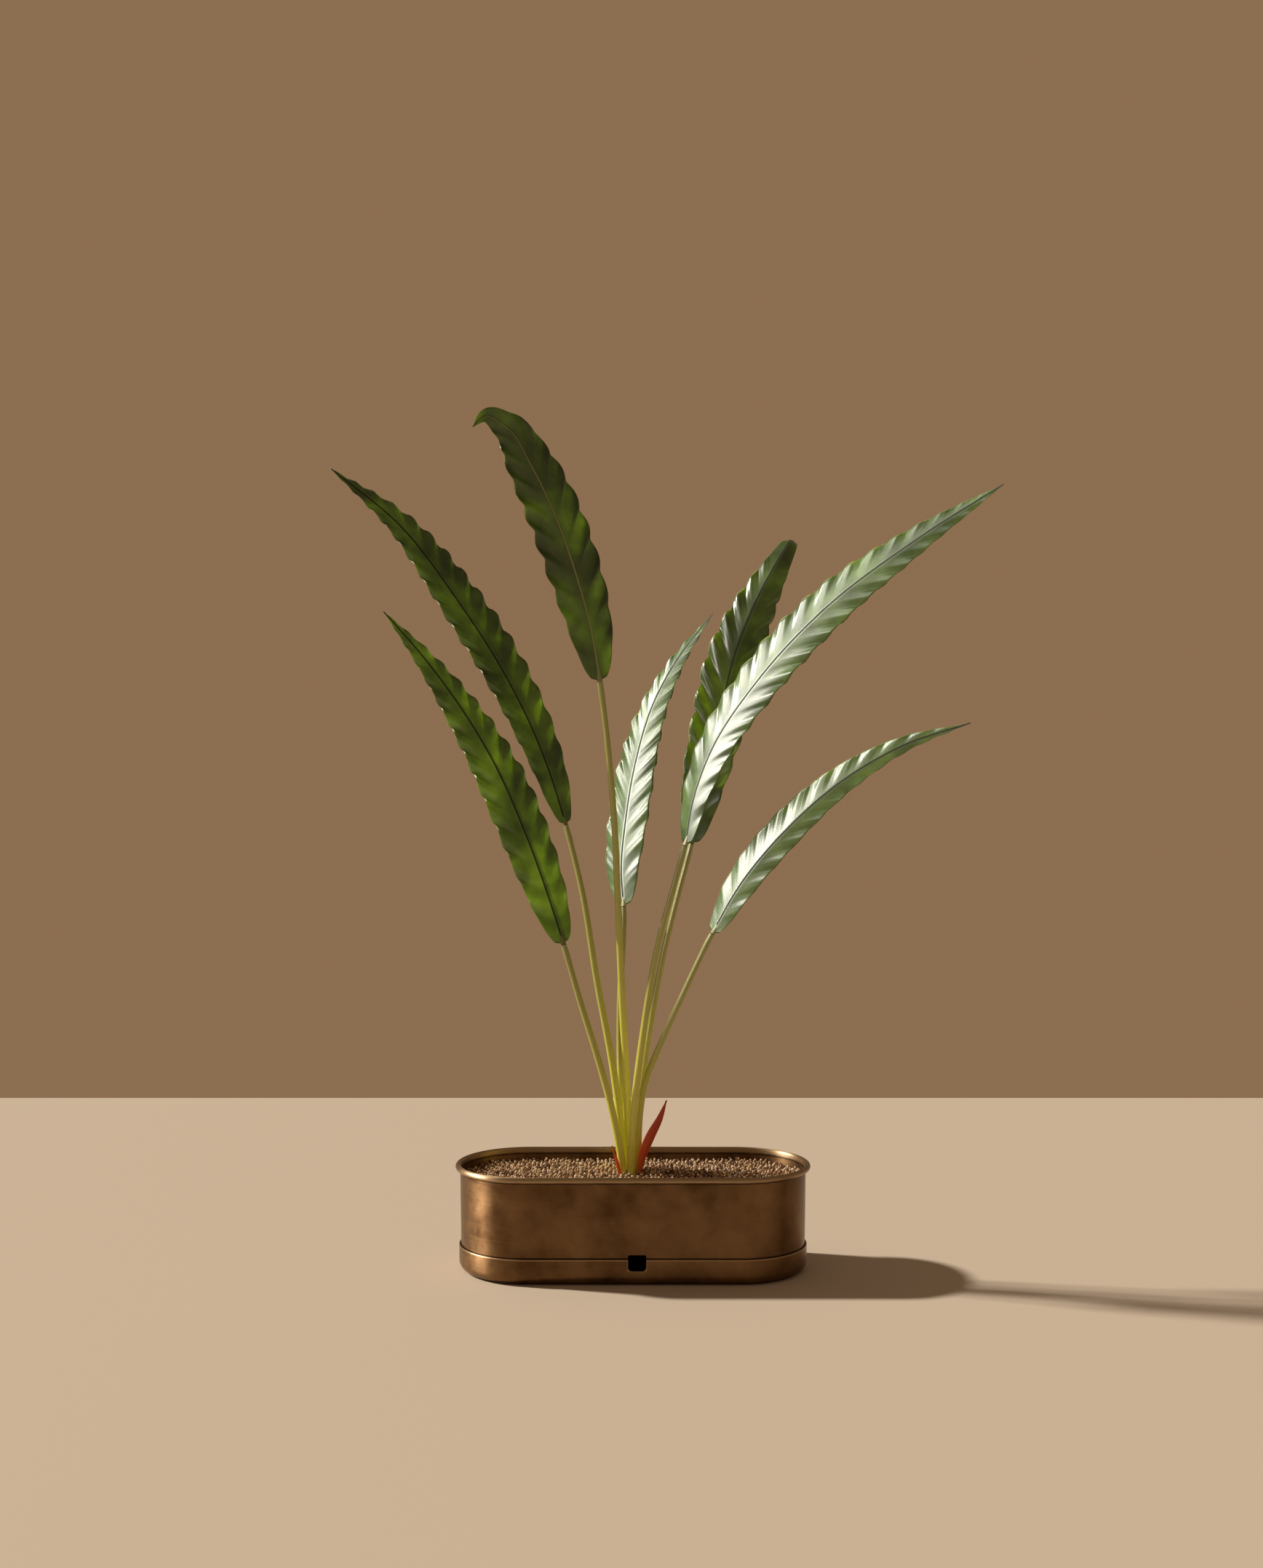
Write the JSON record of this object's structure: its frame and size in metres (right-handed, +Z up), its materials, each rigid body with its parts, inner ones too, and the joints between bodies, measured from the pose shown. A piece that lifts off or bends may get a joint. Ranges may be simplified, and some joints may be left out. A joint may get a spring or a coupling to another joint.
{
  "type": "potted plant",
  "caption": "Potted calathea: long waved leaves on tall slender stems, standing in granular soil in an oblong aged brass pot with a rolled rim and a close, notched tray.",
  "frame": {"origin": "under the middle of the pot's length and depth, on the surface that the tray stands on", "axes": "+Z up; +X along the pot, to the right as seen from the front; +Y away from the front, so the notch in the tray faces -Y"},
  "size_m": [0.6909, 0.2423, 0.8552],
  "materials": {
    "aged_brass": "satin, mottled brown-gold patina with faint brushing along the wall",
    "soil_grains": null,
    "leaf_green": null,
    "stem_green": null,
    "sheath_red": null
  },
  "bodies": {
    "root": {"pot": "aged_brass", "tray": "aged_brass", "soil": "soil_grains", "leaf_1_stem": "stem_green", "leaf_1_blade": "leaf_green", "leaf_2_stem": "stem_green", "leaf_2_blade": "leaf_green", "leaf_3_stem": "stem_green", "leaf_3_blade": "leaf_green", "leaf_4_stem": "stem_green", "leaf_4_blade": "leaf_green", "leaf_5_stem": "stem_green", "leaf_5_blade": "leaf_green", "leaf_6_stem": "stem_green", "leaf_6_blade": "leaf_green", "leaf_7_stem": "stem_green", "leaf_7_blade": "leaf_green", "sheath_right": "sheath_red", "sheath_left": "sheath_red"}
  },
  "joints": []
}
